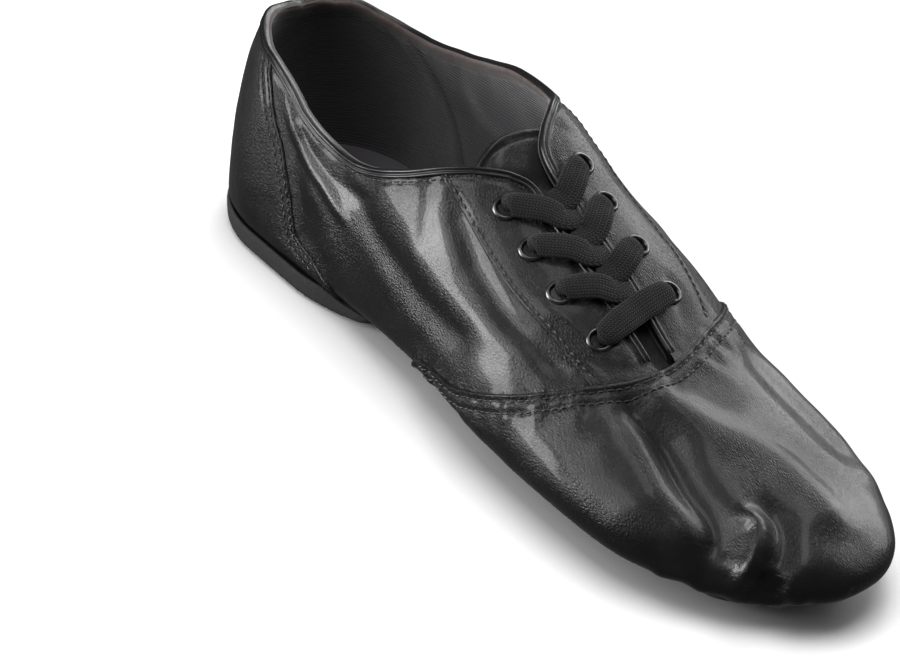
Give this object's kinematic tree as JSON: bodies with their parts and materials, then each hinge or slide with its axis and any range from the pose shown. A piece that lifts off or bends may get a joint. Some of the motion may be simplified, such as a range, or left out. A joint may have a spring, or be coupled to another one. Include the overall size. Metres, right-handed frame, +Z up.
{
  "type": "jazz shoe",
  "caption": "Soft black leather lace-up jazz shoe for the right foot, with a split sole of a low heel piece and suede forefoot pads.",
  "frame": {"origin": "on the floor under the middle of the heel, at the flat underside of the heel sole", "axes": "+X from the heel to the toe, +Y to the wearer's left (the medial side of this right shoe), +Z up"},
  "size_m": [0.2541, 0.0816, 0.0738],
  "materials": {
    "leather": "glossy black coated leather with a fine soft grain",
    "lining": "matt ribbed textile, dark grey",
    "heel_rubber": "matt, finely rough",
    "suede": "napped black suede",
    "webbing": "matt flat woven lace",
    "eyelet_metal": "dark lacquered metal with a bright rim"
  },
  "bodies": {
    "root": {"upper": "leather", "heel_counter": "leather", "eyestay_lateral": "leather", "eyestay_medial": "leather", "tongue": "leather", "insole": "lining", "heel_sole": "heel_rubber", "ball_pad": "suede", "toe_pad": "suede", "lace": "webbing", "eyelet_lateral_1": "eyelet_metal", "eyelet_lateral_2": "eyelet_metal", "eyelet_lateral_3": "eyelet_metal", "eyelet_lateral_4": "eyelet_metal", "eyelet_medial_1": "eyelet_metal", "eyelet_medial_2": "eyelet_metal", "eyelet_medial_3": "eyelet_metal", "eyelet_medial_4": "eyelet_metal"}
  },
  "joints": []
}
